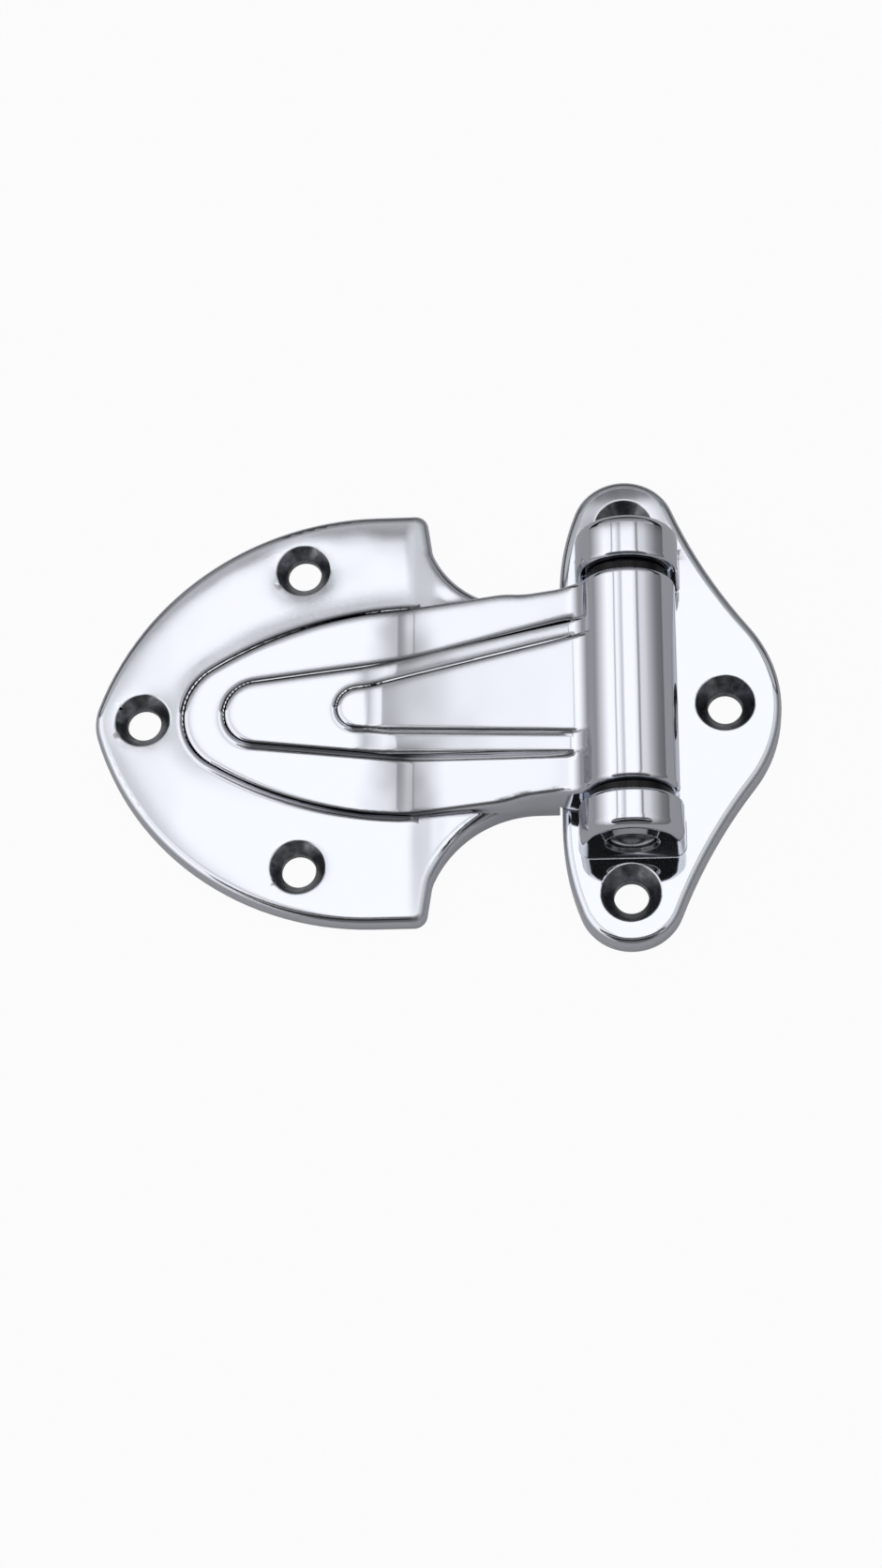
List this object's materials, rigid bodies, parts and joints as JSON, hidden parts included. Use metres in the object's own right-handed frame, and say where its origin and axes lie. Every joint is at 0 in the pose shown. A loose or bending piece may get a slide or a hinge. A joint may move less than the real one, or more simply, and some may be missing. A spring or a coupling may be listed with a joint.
{
  "type": "surface mount hinge",
  "caption": "Surface mount door hinge: arrow-shaped strap leaf with a stepped arm and barrel on a round-ended frame leaf with two pin knuckles.",
  "frame": {"origin": "on the back plane of both leaves, below the middle of the pin", "axes": "+Z out of the mounting surface, Y along the pin, strap toward -X, frame side screw toward +X"},
  "size_m": [0.1632, 0.1186, 0.0276],
  "materials": {
    "chrome": "mirror chrome plate",
    "pin_steel": "turned and plated",
    "nylon": "moulded black nylon"
  },
  "bodies": {
    "frame": {"frame_leaf": "chrome", "hinge_pin": "pin_steel"},
    "strap": {"strap_leaf": "chrome", "upper_bush": "nylon", "lower_bush": "nylon"}
  },
  "joints": [
    {"name": "strap_swing", "type": "hinge", "parent": "frame", "child": "strap", "pos_m": [0, 0, 0.0155], "axis": [0, 1, 0], "range_deg": [0, 180]}
  ]
}
